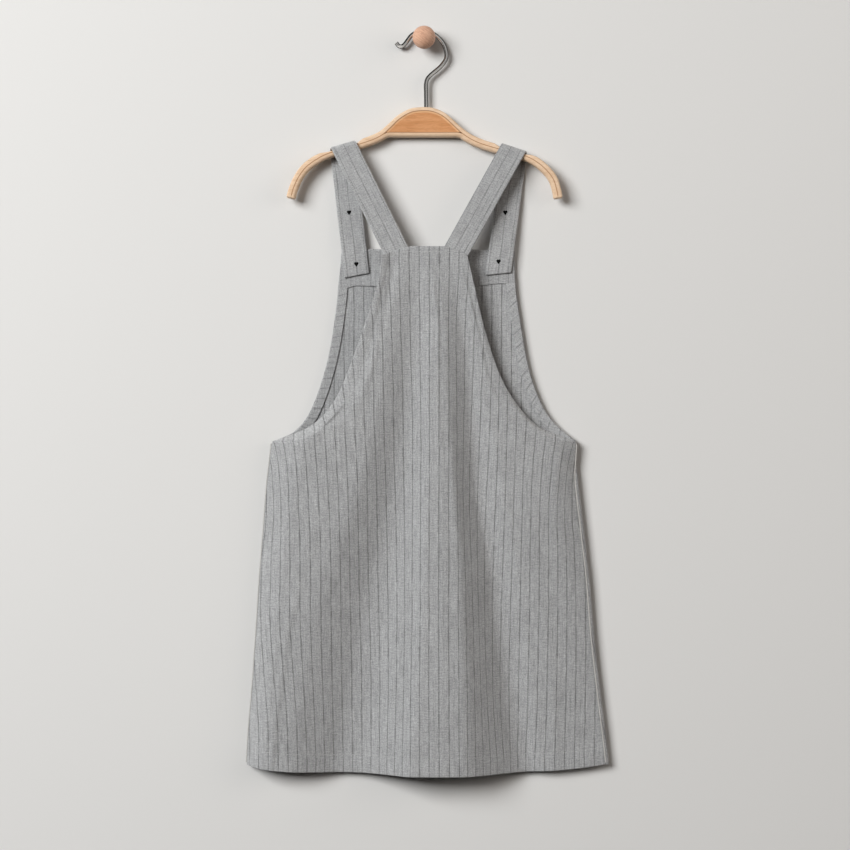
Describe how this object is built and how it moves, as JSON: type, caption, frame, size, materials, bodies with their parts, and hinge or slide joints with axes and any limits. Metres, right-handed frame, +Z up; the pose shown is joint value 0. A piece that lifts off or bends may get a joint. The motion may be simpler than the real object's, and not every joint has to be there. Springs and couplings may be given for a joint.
{
  "type": "pinafore dress",
  "caption": "Sleeveless pinstriped pinafore dress with a bib front, soft folds and shoulder straps, hanging on a wooden hanger whose hook goes over a turned wall knob.",
  "frame": {"origin": "centre of the wall knob's flat rear face, where it meets the wall", "axes": "+Y into the wall, -Y out towards the viewer, +Z up, +X to the viewer's right"},
  "size_m": [0.3714, 0.0442, 0.7633],
  "materials": {
    "front_cloth": "heathered grey pinstripe, matt",
    "back_cloth": "heathered grey pinstripe, matt",
    "facing_cloth": "heathered grey pinstripe, matt",
    "strap_cloth": "heathered grey pinstripe, matt",
    "button": "dark, smooth",
    "hanger_wood": "light lacquered beech",
    "hanger_filler": "orange-brown lacquered",
    "hook_wire": "polished",
    "knob_wood": "waxed beech"
  },
  "bodies": {
    "root": {"front_panel": "front_cloth", "back_panel": "back_cloth", "back_top_facing": "facing_cloth", "back_armhole_facing_left": "facing_cloth", "back_armhole_facing_right": "facing_cloth", "strap_left": "strap_cloth", "strap_right": "strap_cloth", "button_left_upper": "button", "button_left_lower": "button", "button_right_upper": "button", "button_right_lower": "button", "hanger_upper_lamination": "hanger_wood", "hanger_lower_lamination": "hanger_wood", "hanger_filler": "hanger_filler", "hanger_hook": "hook_wire", "wall_knob": "knob_wood"}
  },
  "joints": []
}
